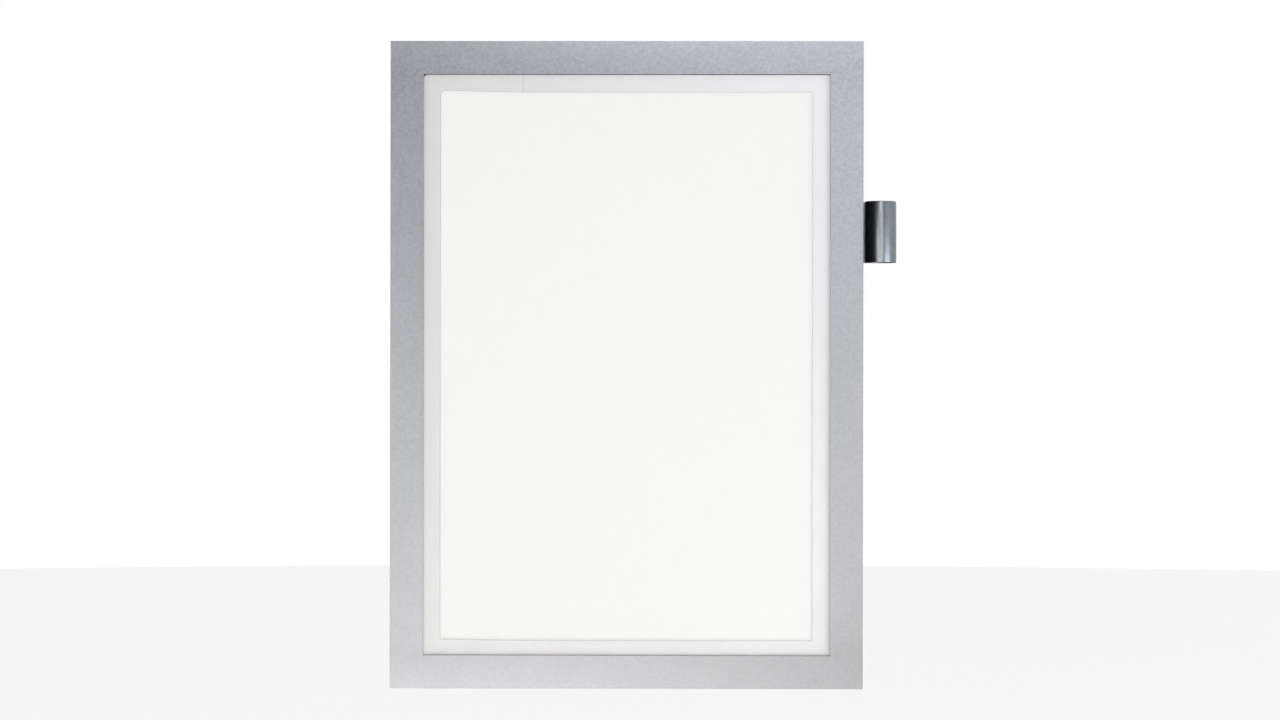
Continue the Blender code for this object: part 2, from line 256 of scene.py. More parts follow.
class DISPLAYFRAME_PG_magnets(bpy.types.PropertyGroup):
    """The magnetic strips"""

    edge_round: FloatProperty(
        name="Edge Round", description="Radius of the saw-cut edges", default=0.00008, unit="LENGTH"
    )
    rubber: FloatVectorProperty(
        name="Rubber", description="Colour of the strips", subtype="COLOR", default=(0.031, 0.032, 0.038)
    )
    roller_lines: FloatProperty(
        name="Roller Lines", description="Size of the rollers' marks", default=0.0005, unit="LENGTH"
    )
    specks: FloatProperty(
        name="Specks", description="Size of the powder's specks", default=0.0004, unit="LENGTH"
    )
    line_depth: FloatProperty(
        name="Line Depth", description="Depth of the marks", default=0.00001, unit="LENGTH"
    )
    # Partly painted shade: the dark rubber that shows below the upper border is real, and is made wide enough
    # to carry part of the shadow line there
    reveal: FloatProperty(
        name="Reveal",
        description="How far the cover's upper strip shows below the facing",
        default=0.00024,
        unit="LENGTH",
    )
    # Partly painted shade: the dark rubber corners in the window also stand in for the shade in its corners,
    # most at the upper left
    corners: FloatVectorProperty(
        name="Corners",
        description="Radius at the window's upper left, upper right, lower left and lower right",
        size=4,
        default=(0.002, 0.0006, 0.0009, 0.0008),
        unit="LENGTH",
    )


class DISPLAYFRAME_PG_paper(bpy.types.PropertyGroup):
    """The blank sheet"""

    white: FloatVectorProperty(
        name="White", description="Colour of the paper", subtype="COLOR", default=(0.706, 0.703, 0.697)
    )
    clouds: FloatProperty(
        name="Clouds", description="Size of the clouds in the paper", default=0.004, unit="LENGTH"
    )
    fibres: FloatProperty(name="Fibres", description="Size of the fibres", default=0.00025, unit="LENGTH")
    tooth: FloatProperty(name="Tooth", description="Depth of the fibres", default=0.000004, unit="LENGTH")
    bow: FloatProperty(
        name="Bow", description="How far the sheet's middle bows outwards", default=0.0003, unit="LENGTH"
    )
    bow_span: FloatProperty(
        name="Bow Span", description="How much of the sheet's width bows", default=0.45, subtype="FACTOR"
    )
    columns: IntProperty(name="Columns", description="Facets across the sheet", default=43)
    rows: IntProperty(name="Rows", description="Facets up the sheet", default=61)


class DISPLAYFRAME_PG_adhesive(bpy.types.PropertyGroup):
    """The foam strips and the pad"""

    foam: FloatVectorProperty(
        name="Foam", description="Colour of the foam", subtype="COLOR", default=(0.8, 0.8, 0.77)
    )
    edge_round: FloatProperty(
        name="Edge Round", description="Radius of the foam's edges", default=0.00025, unit="LENGTH"
    )
    cells: FloatProperty(name="Cells", description="Size of the foam's cells", default=0.00022, unit="LENGTH")
    cell_depth: FloatProperty(
        name="Cell Depth", description="Depth of the cells", default=0.00003, unit="LENGTH"
    )
    wear: FloatProperty(name="Wear", description="Size of the worn patches", default=0.003, unit="LENGTH")


class DISPLAYFRAME_PG_hinge(bpy.types.PropertyGroup):
    """The folded hinge film"""

    tint: FloatVectorProperty(
        name="Tint", description="Colour of the hinge film", subtype="COLOR", default=(0.62, 0.63, 0.65)
    )
    opacity: FloatProperty(
        name="Opacity", description="Share of light that one face stops", default=0.5, subtype="FACTOR"
    )
    index: FloatProperty(name="Index", description="Index of refraction", default=1.5)
    cloud: FloatProperty(
        name="Cloud", description="Size of the faint clouds in the film", default=0.02, unit="LENGTH"
    )
    wave: FloatProperty(
        name="Wave", description="Size of the waves in the film", default=0.015, unit="LENGTH"
    )
    ripple: FloatProperty(name="Ripple", description="Depth of the waves", default=0.00001, unit="LENGTH")
    wear: FloatProperty(name="Wear", description="How much rougher and smoother the film gets", default=0.005)
    thickness: FloatProperty(
        name="Thickness", description="Thickness of the film", default=0.0001, unit="LENGTH"
    )
    leaf: FloatProperty(
        name="Leaf", description="Width of one leaf up to the fold", default=0.011, unit="LENGTH"
    )
    fold_steps: IntProperty(name="Fold Steps", description="Facets round the fold", default=24)


class DISPLAYFRAME_PG_pen_holder(bpy.types.PropertyGroup):
    """The pen holder"""

    wall: FloatProperty(name="Wall", description="Wall of the sleeve", default=0.0012, unit="LENGTH")
    tab: FloatProperty(name="Tab", description="Thickness of the tab", default=0.0005, unit="LENGTH")
    rim_round: FloatProperty(
        name="Rim Round", description="Radius of the sleeve's rims", default=0.00035, unit="LENGTH"
    )
    graphite: FloatVectorProperty(
        name="Graphite", description="Colour of the plastic", subtype="COLOR", default=(0.228, 0.252, 0.285)
    )
    clouds: FloatProperty(
        name="Clouds", description="Size of the clouds in the plastic", default=0.003, unit="LENGTH"
    )
    die_lines: FloatProperty(
        name="Die Lines", description="Size of the die's lines", default=0.0004, unit="LENGTH"
    )
    line_depth: FloatProperty(
        name="Line Depth", description="Depth of the die's lines", default=0.0000004, unit="LENGTH"
    )
    smooth_angle: FloatProperty(
        name="Smooth Angle",
        description="Edges flatter than this are shaded smooth",
        subtype="ANGLE",
        default=math.radians(35),
    )
    facets: IntProperty(name="Facets", description="Facets round the sleeve", default=144)


class DISPLAYFRAME_PG_stage(bpy.types.PropertyGroup):
    """The camera, the lights and the floor"""

    distance: FloatProperty(
        name="Distance", description="From the camera to the frame's face", default=1.6, unit="LENGTH"
    )
    seen_width: FloatProperty(
        name="Seen Width", description="What the picture's width covers there", default=0.6384, unit="LENGTH"
    )
    aim: FloatVectorProperty(
        name="Aim",
        description="The middle of the picture, to the side of the frame's middle and above it",
        size=2,
        default=(0.00667, 0.00244),
        unit="LENGTH",
    )
    floor_drop: FloatProperty(
        name="Floor Drop", description="From the frame's foot down to the floor", default=0.45, unit="LENGTH"
    )
    floor_radius: FloatProperty(
        name="Floor Radius", description="Radius of the floor", default=8.0, unit="LENGTH"
    )
    floor_wash: FloatProperty(
        name="Floor Wash", description="Light that falls on the floor from straight above", default=1.82
    )
    wash_angle: FloatProperty(
        name="Wash Angle",
        description="Spread of the floor's light",
        subtype="ANGLE",
        default=math.radians(60),
    )
    floor_colour: FloatVectorProperty(
        name="Floor Colour", description="Colour of the floor", subtype="COLOR", default=(0.9, 0.9, 0.9)
    )
    orbit: FloatProperty(
        name="Orbit",
        description="How far the camera stands to the right",
        subtype="ANGLE",
        default=math.radians(0.5),
    )
    roll: FloatProperty(
        name="Roll", description="Turn about the camera's axis", subtype="ANGLE", default=math.radians(-0.09)
    )
    bright_side: FloatVectorProperty(
        name="Bright Side", description="Light from the right", subtype="COLOR", default=(0.874, 0.894, 0.914)
    )
    dark_side: FloatVectorProperty(
        name="Dark Side", description="Light from the left", subtype="COLOR", default=(0.01, 0.01, 0.01)
    )
    ceiling: FloatVectorProperty(
        name="Ceiling", description="Light from above and below", subtype="COLOR", default=(0.59, 0.59, 0.59)
    )


class DISPLAYFRAME_PG_settings(bpy.types.PropertyGroup):
    """All sizes and colours of the display frame"""

    facing: PointerProperty(type=DISPLAYFRAME_PG_facing)
    film: PointerProperty(type=DISPLAYFRAME_PG_film)
    magnets: PointerProperty(type=DISPLAYFRAME_PG_magnets)
    paper: PointerProperty(type=DISPLAYFRAME_PG_paper)
    adhesive: PointerProperty(type=DISPLAYFRAME_PG_adhesive)
    hinge: PointerProperty(type=DISPLAYFRAME_PG_hinge)
    pen_holder: PointerProperty(type=DISPLAYFRAME_PG_pen_holder)
    stage: PointerProperty(type=DISPLAYFRAME_PG_stage)


# Modelling helpers


def only(piece):
    """Leaves one object selected and active."""
    bpy.ops.object.select_all(action="DESELECT")
    piece.select_set(True)
    bpy.context.view_layer.objects.active = piece


def settle(name):
    """Names the new object and moves its place, turn and size into its mesh."""
    piece = bpy.context.active_object
    piece.name = piece.data.name = name
    bpy.ops.object.transform_apply(location=True, rotation=True, scale=True)
    return piece


def add_block(name, low, high):
    """A box between two corners."""
    bpy.ops.object.select_all(action="DESELECT")
    bpy.ops.mesh.primitive_cube_add(size=1, location=(low + high) / 2, scale=high - low)
    return settle(name)


def add_sheet(name, low, high, columns, rows):
    """A sheet between two corners, divided into columns and rows that can bend."""
    bpy.ops.object.select_all(action="DESELECT")
    bpy.ops.mesh.primitive_grid_add(
        x_subdivisions=columns,
        y_subdivisions=rows,
        size=1,
        location=(low + high) / 2,
        rotation=(math.radians(90), 0, 0),
    )
    bpy.context.active_object.scale = (high.x - low.x, high.z - low.z, 1)
    sheet = settle(name)
    apply_modifier(sheet, "SOLIDIFY", thickness=high.y - low.y, offset=0.0)
    return sheet


def apply_modifier(piece, kind, **settings):
    """Adds a modifier to a piece and applies it at once."""
    only(piece)
    bpy.ops.object.modifier_add(type=kind)
    modifier = piece.modifiers[-1]
    for name, value in settings.items():
        setattr(modifier, name, value)
    bpy.ops.object.modifier_apply(modifier=modifier.name)


def combine(piece, tool, operation):
    """Cuts a tool out of a piece, or joins it on. The tool is used up."""
    apply_modifier(piece, "BOOLEAN", operation=operation, solver="EXACT", object=tool)
    bpy.data.objects.remove(tool, do_unlink=True)


def start_editing(piece, mode):
    """Opens a piece in edit mode with nothing selected."""
    only(piece)
    bpy.ops.object.mode_set(mode="EDIT")
    bpy.ops.mesh.select_mode(type=mode)
    bpy.ops.mesh.select_all(action="DESELECT")


def stop_editing():
    """Goes back to object mode."""
    bpy.ops.object.mode_set(mode="OBJECT")


def select(piece, parts, wanted):
    """Selects the vertices, edges or faces of the piece in edit mode that a test picks out."""
    shape = bmesh.from_edit_mesh(piece.data)
    for part in getattr(shape, parts):
        if wanted(part):
            part.select_set(True)
    bmesh.update_edit_mesh(piece.data)


def middle(edge):
    """The point halfway along an edge."""
    return (edge.verts[0].co + edge.verts[1].co) / 2


def runs_along(edge, axis):
    """Whether an edge is parallel to an axis, 0 for X, 1 for Y and 2 for Z."""
    step = edge.verts[1].co - edge.verts[0].co
    return abs(step[axis]) > 0.99 * step.length


def bevel_edges(piece, wanted, radius, segments):
    """Rounds the edges that a test picks out."""
    start_editing(piece, "EDGE")
    select(piece, "edges", wanted)
    bpy.ops.mesh.bevel(offset=radius, segments=segments, affect="EDGES")
    stop_editing()


def round_block(name, low, high, radius, segments=2):
    """A box with rounded edges."""
    block = add_block(name, low, high)
    bevel_edges(block, lambda edge: True, radius, segments)
    return block


def dress(piece, material):
    """Gives a piece its one material."""
    piece.data.materials.clear()
    piece.data.materials.append(material)


def carry(piece, body, slot, *nodes):
    """Puts a finished piece on its body in place of the nodes that it stands for."""
    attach(piece, body)
    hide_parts(*nodes)


# Material helpers


def start_material(name, colour, roughness, metallic=0.0, alpha=1.0):
    """A Principled material with its plain values, ready for nodes."""
    material = bpy.data.materials.new(name)
    material.use_nodes = True
    shader = material.node_tree.nodes["Principled BSDF"]
    shader.inputs["Base Color"].default_value = (*colour, 1)
    shader.inputs["Roughness"].default_value = roughness
    shader.inputs["Metallic"].default_value = metallic
    shader.inputs["Alpha"].default_value = alpha
    return material, material.node_tree, shader


def add_noise(tree, size, detail=2.0, stretch=(1, 1, 1)):
    """Noise whose features are about one size in metres, on the piece's own coordinates."""
    place = tree.nodes.new("ShaderNodeTexCoord")
    mapping = tree.nodes.new("ShaderNodeMapping")
    mapping.inputs["Scale"].default_value = [1 / (size * s) for s in stretch]
    noise = tree.nodes.new("ShaderNodeTexNoise")
    noise.inputs["Scale"].default_value = 1.0
    noise.inputs["Detail"].default_value = detail
    tree.links.new(place.outputs["Object"], mapping.inputs["Vector"])
    tree.links.new(mapping.outputs["Vector"], noise.inputs["Vector"])
    return noise.outputs["Fac"]


def add_range(tree, value, low, high, from_low=0.3, from_high=0.7):
    """Spreads a range of values, that of a noise if nothing else is said, over another one."""
    spread = tree.nodes.new("ShaderNodeMapRange")
    spread.inputs["From Min"].default_value = from_low
    spread.inputs["From Max"].default_value = from_high
    spread.inputs["To Min"].default_value = low
    spread.inputs["To Max"].default_value = high
    tree.links.new(value, spread.inputs["Value"])
    return spread.outputs["Result"]


def add_shades(tree, shader, value, colour, contrast):
    """Makes a surface darker and lighter with a value, by a share of its colour either way."""
    mix = tree.nodes.new("ShaderNodeMix")
    mix.data_type = "RGBA"
    mix.inputs["A"].default_value = (*(c * (1 - contrast) for c in colour), 1)
    mix.inputs["B"].default_value = (*(c * (1 + contrast) for c in colour), 1)
    tree.links.new(value, mix.inputs["Factor"])
    tree.links.new(mix.outputs["Result"], shader.inputs["Base Color"])


def add_wear(tree, shader, value, smooth, rough, *limits):
    """Makes a surface smoother and rougher with a value."""
    tree.links.new(add_range(tree, value, smooth, rough, *limits), shader.inputs["Roughness"])


def add_math(tree, operation, *values):
    """A calculation with sockets and plain numbers."""
    result = tree.nodes.new("ShaderNodeMath")
    result.operation = operation
    for socket, value in zip(result.inputs, values):
        if isinstance(value, bpy.types.NodeSocket):
            tree.links.new(value, socket)
        else:
            socket.default_value = value
    return result.outputs["Value"]


def add_place(tree, axis):
    """The place along one axis, on the piece's own coordinates."""
    place = tree.nodes.new("ShaderNodeTexCoord")
    axes = tree.nodes.new("ShaderNodeSeparateXYZ")
    tree.links.new(place.outputs["Object"], axes.inputs["Vector"])
    return axes.outputs[axis]


def add_bump(tree, shader, height, depth):
    """Raises a surface by a value between 0 and 1, to a depth in metres."""
    bump = tree.nodes.new("ShaderNodeBump")
    bump.inputs["Strength"].default_value = 1.0
    bump.inputs["Distance"].default_value = depth
    tree.links.new(height, bump.inputs["Height"])
    tree.links.new(bump.outputs["Normal"], shader.inputs["Normal"])


def silver_print(settings):
    """Silver ink on a satin film. Its grain gets stronger upwards, and painted shading darkens the upper and
    lower bars at the window and pales them towards their outer edges.
    """
    material, tree, shader = start_material("silver_print", settings.silver, 0.285, metallic=0.9)
    low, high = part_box("facing")
    centre = (low.z + high.z) / 2
    rim, window = high.z - centre, window_corners("front_magnet")[1].z - centre
    level = add_place(tree, "Z")
    outward = add_math(tree, "ABSOLUTE", add_math(tree, "SUBTRACT", level, centre))
    # Painted shade next to the window and painted light towards the outer edges of the upper and lower bars
    painted_shade = add_range(tree, outward, 0, -settings.fade, window - settings.painted_shading_start, window)
    painted_light = add_range(tree, outward, 0, 2 * settings.fade, window, rim)
    coarse = add_range(tree, add_noise(tree, settings.grain, 1.0), -0.3, 0.3)
    fine = add_range(tree, add_noise(tree, settings.grain / 3, 0.0), -0.2, 0.2)
    strength = add_range(tree, level, 0.45, 1, settings.calm_level, 0)
    grain = add_math(tree, "MULTIPLY_ADD", add_math(tree, "ADD", coarse, fine), strength, 0.5)
    shade = add_math(tree, "ADD", add_math(tree, "ADD", grain, painted_shade), painted_light)
    add_shades(tree, shader, shade, settings.silver, settings.contrast)
    wear = add_noise(tree, settings.wear, 2.0)
    add_wear(tree, shader, wear, 0.28, 0.29)
    add_bump(tree, shader, shade, settings.grain_depth)
    return material


def cut_film(settings):
    """The matt cut edge of the facing, with fine saw marks."""
    material, tree, shader = start_material("facing_cut_edge", settings.cut_edge, 0.55)
    marks = add_range(tree, add_noise(tree, settings.cut_marks, 1.0), 0, 1)
    add_shades(tree, shader, marks, settings.cut_edge, 0.1)
    return material


def clear_film(name, settings, painted_sheen=0.0):
    """Clear film with a faint ripple. Given a sheen share, a painted sheen pales its colour towards the upper
    right in place of the lamps' reflection; without one, it has faint clouds.
    """
    roughness, faint = 0.3, 0.02
    material, tree, shader = start_material(name, settings.tint, roughness, alpha=settings.opacity)
    shader.inputs["IOR"].default_value = settings.index
    shader.inputs["Specular IOR Level"].default_value = 1.0
    # With a sheen share, the colour gets a painted sheen in place of reflected light; without one, faint
    # clouds in the film
    if painted_sheen:
        across = add_range(tree, add_place(tree, "X"), -0.42, 0.42, *settings.painted_sheen_sides)
        up = add_range(tree, add_place(tree, "Z"), -0.1, 0.1, *settings.painted_sheen_levels)
        clouds = add_range(tree, add_math(tree, "ADD", across, up), 0, 1, -0.6, 0.6)
    else:
        clouds = add_range(tree, add_noise(tree, settings.cloud, 1.0), 0, 1, 0.2, 0.8)
    add_shades(tree, shader, clouds, settings.tint, painted_sheen or faint)
    wave = add_noise(tree, settings.wave, 1.0)
    add_wear(tree, shader, wave, roughness - settings.wear, roughness + settings.wear)
    add_bump(tree, shader, wave, settings.ripple)
    return material


def film_rim(settings):
    """The margin of the film that the knife has whitened, with fine stress marks. It also paints shade on one
    flank of the crease.
    """
    material, tree, shader = start_material("film_rim", settings.rim_and_crease_shade_tint, 0.5, alpha=settings.rim_opacity)
    marks = add_range(tree, add_noise(tree, settings.rim_marks, 2.0), 0, 1)
    add_shades(tree, shader, marks, settings.rim_and_crease_shade_tint, 0.1)
    add_wear(tree, shader, marks, 0.4, 0.6, 0, 1)
    return material


def magnetic_rubber(settings):
    """Dark magnetic sheet with the fine lines of its rollers."""
    material, tree, shader = start_material("magnetic_rubber", settings.rubber, 0.6)
    lines = add_noise(tree, settings.roller_lines, 1.0, stretch=(1, 1, 60))
    specks = add_noise(tree, settings.specks, 2.0)
    shade = add_range(tree, add_math(tree, "ADD", lines, specks), 0, 1, 0.7, 1.3)
    add_shades(tree, shader, shade, settings.rubber, 0.3)
    add_wear(tree, shader, specks, 0.5, 0.7)
    add_bump(tree, shader, shade, settings.line_depth)
    return material


def white_paper(settings):
    """Plain office paper with a faint formation and a fibrous tooth."""
    material, tree, shader = start_material("white_paper", settings.white, 0.85)
    clouds = add_range(tree, add_noise(tree, settings.clouds, 3.0), 0, 1)
    add_shades(tree, shader, clouds, settings.white, 0.006)
    fibres = add_noise(tree, settings.fibres, 3.0)
    add_wear(tree, shader, fibres, 0.8, 0.9)
    add_bump(tree, shader, fibres, settings.tooth)
    return material


def white_foam(settings):
    """Closed-cell foam tape."""
    material, tree, shader = start_material("white_foam", settings.foam, 0.6)
    place = tree.nodes.new("ShaderNodeTexCoord")
    cells = tree.nodes.new("ShaderNodeTexVoronoi")
    cells.inputs["Scale"].default_value = 1 / settings.cells
    tree.links.new(place.outputs["Object"], cells.inputs["Vector"])
    pores = add_range(tree, cells.outputs["Distance"], 0, 1, 0, 0.6)
    add_shades(tree, shader, pores, settings.foam, 0.07)
    wear = add_noise(tree, settings.wear)
    add_wear(tree, shader, wear, 0.45, 0.75)
    add_bump(tree, shader, pores, settings.cell_depth)
    return material


def graphite_plastic(settings):
    """Glossy extruded plastic with faint die lines along it."""
    material, tree, shader = start_material("graphite_plastic", settings.graphite, 0.32, metallic=1.0)
    clouds = add_range(tree, add_noise(tree, settings.clouds, 2.0), 0, 1)
    add_shades(tree, shader, clouds, settings.graphite, 0.06)
    lines = add_noise(tree, settings.die_lines, 1.0, stretch=(1, 1, 80))
    add_wear(tree, shader, lines, 0.3, 0.34)
    add_bump(tree, shader, lines, settings.line_depth)
    return material


# Operators, one for each piece or group of like pieces


class DISPLAYFRAME_OT_facing(bpy.types.Operator):
    """Model the silver face of the border, one die-cut ring"""

    bl_idname = "display_frame.facing"
    bl_label = "Facing"

    def execute(self, context):
        settings = context.scene.display_frame.facing
        low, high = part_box("facing")
        window_low = window_corners("front_magnet")[0]
        facing = add_block("silver_facing", low, high)
        start_editing(facing, "FACE")
        select(facing, "faces", lambda face: abs(face.normal.y) > 0.5)
        bpy.ops.mesh.inset(thickness=window_low.x - low.x)
        bpy.ops.mesh.bridge_edge_loops()
        stop_editing()
        bevel_edges(
            facing,
            lambda edge: abs(middle(edge).y - low.y) < settings.edge_round / 2
            and any(abs(face.normal.y) < 0.5 for face in edge.link_faces),
            settings.edge_round,
            2,
        )
        dress(facing, silver_print(settings))
        facing.data.materials.append(cut_film(settings))
        for face in facing.data.polygons:
            face.material_index = int(abs(face.normal.y) < 0.3)
        facing.visible_glossy = False
        carry(facing, "cover", "silver_print", "facing")
        return {"FINISHED"}


class DISPLAYFRAME_OT_magnets(bpy.types.Operator):
    """Model the eight magnetic strips, four in the cover and four round the pocket"""

    bl_idname = "display_frame.magnets"
    bl_label = "Magnetic Strips"

    def execute(self, context):
        settings = context.scene.display_frame.magnets
        rubber = magnetic_rubber(settings)
        for body, ring in (("cover", "front_magnet"), ("back", "back_magnet")):
            for side in SIDES:
                node = f"{ring}_{side}"
                low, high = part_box(node)
                # The widened upper strip puts part of the shadow line below the upper border in dark rubber,
                # as painted shade
                if body == "cover" and side == "top":
                    low.z -= settings.reveal
                elif body == "cover" and side != "bottom":
                    high.z -= settings.reveal
                strip = round_block(f"{body}_strip_{side}", low, high, settings.edge_round)
                if body == "cover" and side in ("top", "bottom"):
                    self.fill_corners(strip, low, high, side, settings)
                dress(strip, rubber)
                carry(strip, body, "magnetic_sheet", node)
        return {"FINISHED"}

    def fill_corners(self, strip, low, high, side, settings):
        """Adds the round inner corners at the window's ends of the upper or the lower strip. Their dark
        rubber is real, and also stands in for shade in the window's corners as painted shade.
        """
        window_low, window_high = window_corners("front_magnet")
        first = 0 if side == "top" else 2
        edge, inward = (low.z, -1) if side == "top" else (high.z, 1)
        for x, along, radius in (
            (window_low.x, 1, settings.corners[first]),
            (window_high.x, -1, settings.corners[first + 1]),
        ):
            overlap = settings.edge_round * 2
            sides = sorted((x, x + along * radius))
            levels = sorted((edge - inward * overlap, edge + inward * radius))
            corner_low = Vector((sides[0], low.y, levels[0]))
            corner = add_block("corner", corner_low, Vector((sides[1], high.y, levels[1])))
            bpy.ops.object.select_all(action="DESELECT")
            bpy.ops.mesh.primitive_cylinder_add(
                vertices=48,
                radius=radius,
                depth=4 * (high.y - low.y),
                location=(x + along * radius, (low.y + high.y) / 2, edge + inward * radius),
                rotation=(math.radians(90), 0, 0),
            )
            combine(corner, settle("round"), "DIFFERENCE")
            combine(strip, corner, "UNION")


class DISPLAYFRAME_OT_front_film(bpy.types.Operator):
    """Model the clear film of the cover, with the opening that the sheet is written through"""

    bl_idname = "display_frame.front_film"
    bl_label = "Front Film"

    def execute(self, context):
        settings = context.scene.display_frame.film
        low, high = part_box("front_film")
        hole_low, hole_high = hole_corners("front_film")
        film = add_block("window_film", low, high)
        combine(film, self.add_die(settings, hole_low, hole_high), "DIFFERENCE")
        dress(film, clear_film("clear_film", settings, settings.painted_sheen))
        film.data.materials.append(film_rim(settings))
        self.mark_rim(film, settings)
        self.fold_crease(film, settings, hole_high.z, window_corners("front_magnet")[1].z)
        film.visible_glossy = False
        carry(film, "cover", "clear_film", "front_film")
        return {"FINISHED"}

    def add_die(self, settings, hole_low, hole_high):
        """The knife that cuts the opening. Its upper and lower sides wander a little."""
        overrun = Vector((0, OVERRUN, 0))
        die = add_block("die", hole_low - overrun, hole_high + overrun)
        start_editing(die, "EDGE")
        select(die, "edges", lambda edge: runs_along(edge, 0))
        bpy.ops.mesh.subdivide(number_cuts=31)
        bpy.ops.mesh.select_mode(type="VERT")
        span = hole_high.x - hole_low.x
        for level, lift in ((hole_high.z, settings.top_lift), (hole_low.z, settings.bottom_lift)):
            for side in (hole_low.x, hole_high.x):
                bpy.ops.mesh.select_all(action="DESELECT")
                select(die, "verts", lambda vert: abs(vert.co.z - level) + abs(vert.co.x - side) < NEAR)
                bpy.ops.transform.translate(
                    value=(0, 0, lift if side < 0 else lift * settings.lift_balance),
                    use_proportional_edit=True,
                    proportional_edit_falloff="SMOOTH",
                    proportional_size=span * settings.lift_span,
                )
        stop_editing()
        corners = [(x, z) for z in (hole_high.z, hole_low.z) for x in (hole_low.x, hole_high.x)]
        for (x, z), radius in zip(corners, settings.corners):
            bevel_edges(
                die,
                lambda edge: runs_along(edge, 1)
                and abs(middle(edge).x - x) < NEAR
                and abs(middle(edge).z - z) < settings.top_lift + settings.bottom_lift,
                radius,
                8,
            )
        return die

    def mark_rim(self, film, settings):
        """A narrow margin along every cut, where the knife has whitened the film."""
        start_editing(film, "FACE")
        select(film, "faces", lambda face: abs(face.normal.y) > 0.5)
        bpy.ops.mesh.inset(thickness=settings.rim)
        bpy.ops.mesh.select_all(action="INVERT")
        shape = bmesh.from_edit_mesh(film.data)
        for face in shape.faces:
            if face.select:
                face.material_index = 1
        bmesh.update_edit_mesh(film.data)
        stop_editing()

    def fold_crease(self, film, settings, lip, window_top):
        """An upright crease in the upper lip, with painted shade on one flank."""
        flank = settings.crease_width / 4
        start_editing(film, "FACE")
        for step in (-2, -1, 0, 1, 2):
            bpy.ops.mesh.select_all(action="SELECT")
            bpy.ops.mesh.bisect(
                plane_co=(settings.crease_side + step * flank, 0, 0),
                plane_no=(1, 0, 0),
            )
        bpy.ops.mesh.select_all(action="SELECT")
        bpy.ops.mesh.bisect(plane_co=(0, 0, window_top - settings.rim), plane_no=(0, 0, 1))
        bpy.ops.mesh.select_mode(type="VERT")
        bpy.ops.mesh.select_all(action="DESELECT")
        select(
            film,
            "verts",
            lambda vert: abs(vert.co.z - lip) < settings.crease_lip
            and abs(vert.co.x - settings.crease_side) < NEAR,
        )
        bpy.ops.transform.translate(value=(0, -settings.crease_height, 0))
        stop_editing()
        # One flank of the crease gets the rim's material, as painted shade on its shaded side
        for face in film.data.polygons:
            beside = face.center.x - settings.crease_side
            if face.normal.y < -0.5 and 0 < beside < flank and lip < face.center.z < window_top:
                face.material_index = 1


class DISPLAYFRAME_OT_back_film(bpy.types.Operator):
    """Model the clear back film"""

    bl_idname = "display_frame.back_film"
    bl_label = "Back Film"

    def execute(self, context):
        settings = context.scene.display_frame.film
        film = round_block("back_panel", *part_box("back_film"), settings.edge_round)
        dress(film, clear_film("back_film", settings))
        film.visible_glossy = False
        carry(film, "back", "clear_film", "back_film")
        return {"FINISHED"}


class DISPLAYFRAME_OT_paper(bpy.types.Operator):
    """Model the blank sheet in the pocket"""

    bl_idname = "display_frame.paper"
    bl_label = "Paper"

    def execute(self, context):
        settings = context.scene.display_frame.paper
        low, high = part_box("insert_sheet")
        sheet = add_sheet("paper_sheet", low, high, settings.columns, settings.rows)
        centre, facet = (low + high) / 2, (high.x - low.x) / settings.columns
        start_editing(sheet, "VERT")
        select(sheet, "verts", lambda vert: (vert.co - centre).length < facet)
        bpy.ops.transform.translate(
            value=(0, -settings.bow, 0),
            use_proportional_edit=True,
            proportional_edit_falloff="SMOOTH",
            proportional_size=(high.x - low.x) * settings.bow_span,
        )
        stop_editing()
        dress(sheet, white_paper(settings))
        sheet.visible_glossy = False
        carry(sheet, "back", "white_paper", "insert_sheet")
        return {"FINISHED"}


class DISPLAYFRAME_OT_adhesive(bpy.types.Operator):
    """Model the adhesive strips on the back and the pad under the pen holder's tab"""

    bl_idname = "display_frame.adhesive"
    bl_label = "Adhesive Strips"

    def execute(self, context):
        settings = context.scene.display_frame.adhesive
        foam = white_foam(settings)
        for side in ADHESIVE_SIDES:
            node = f"adhesive_strip_{side}"
            strip = round_block(f"foam_strip_{side}", *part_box(node), settings.edge_round, 3)
            dress(strip, foam)
            carry(strip, "back", "adhesive_foam", node)
        pad_low, pad_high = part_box("pen_holder_pad")
        pad = round_block("tab_pad", pad_low, pad_high, (pad_high.y - pad_low.y) / 4)
        dress(pad, foam)
        carry(pad, "back", "adhesive_pad", "pen_holder_pad")
        return {"FINISHED"}


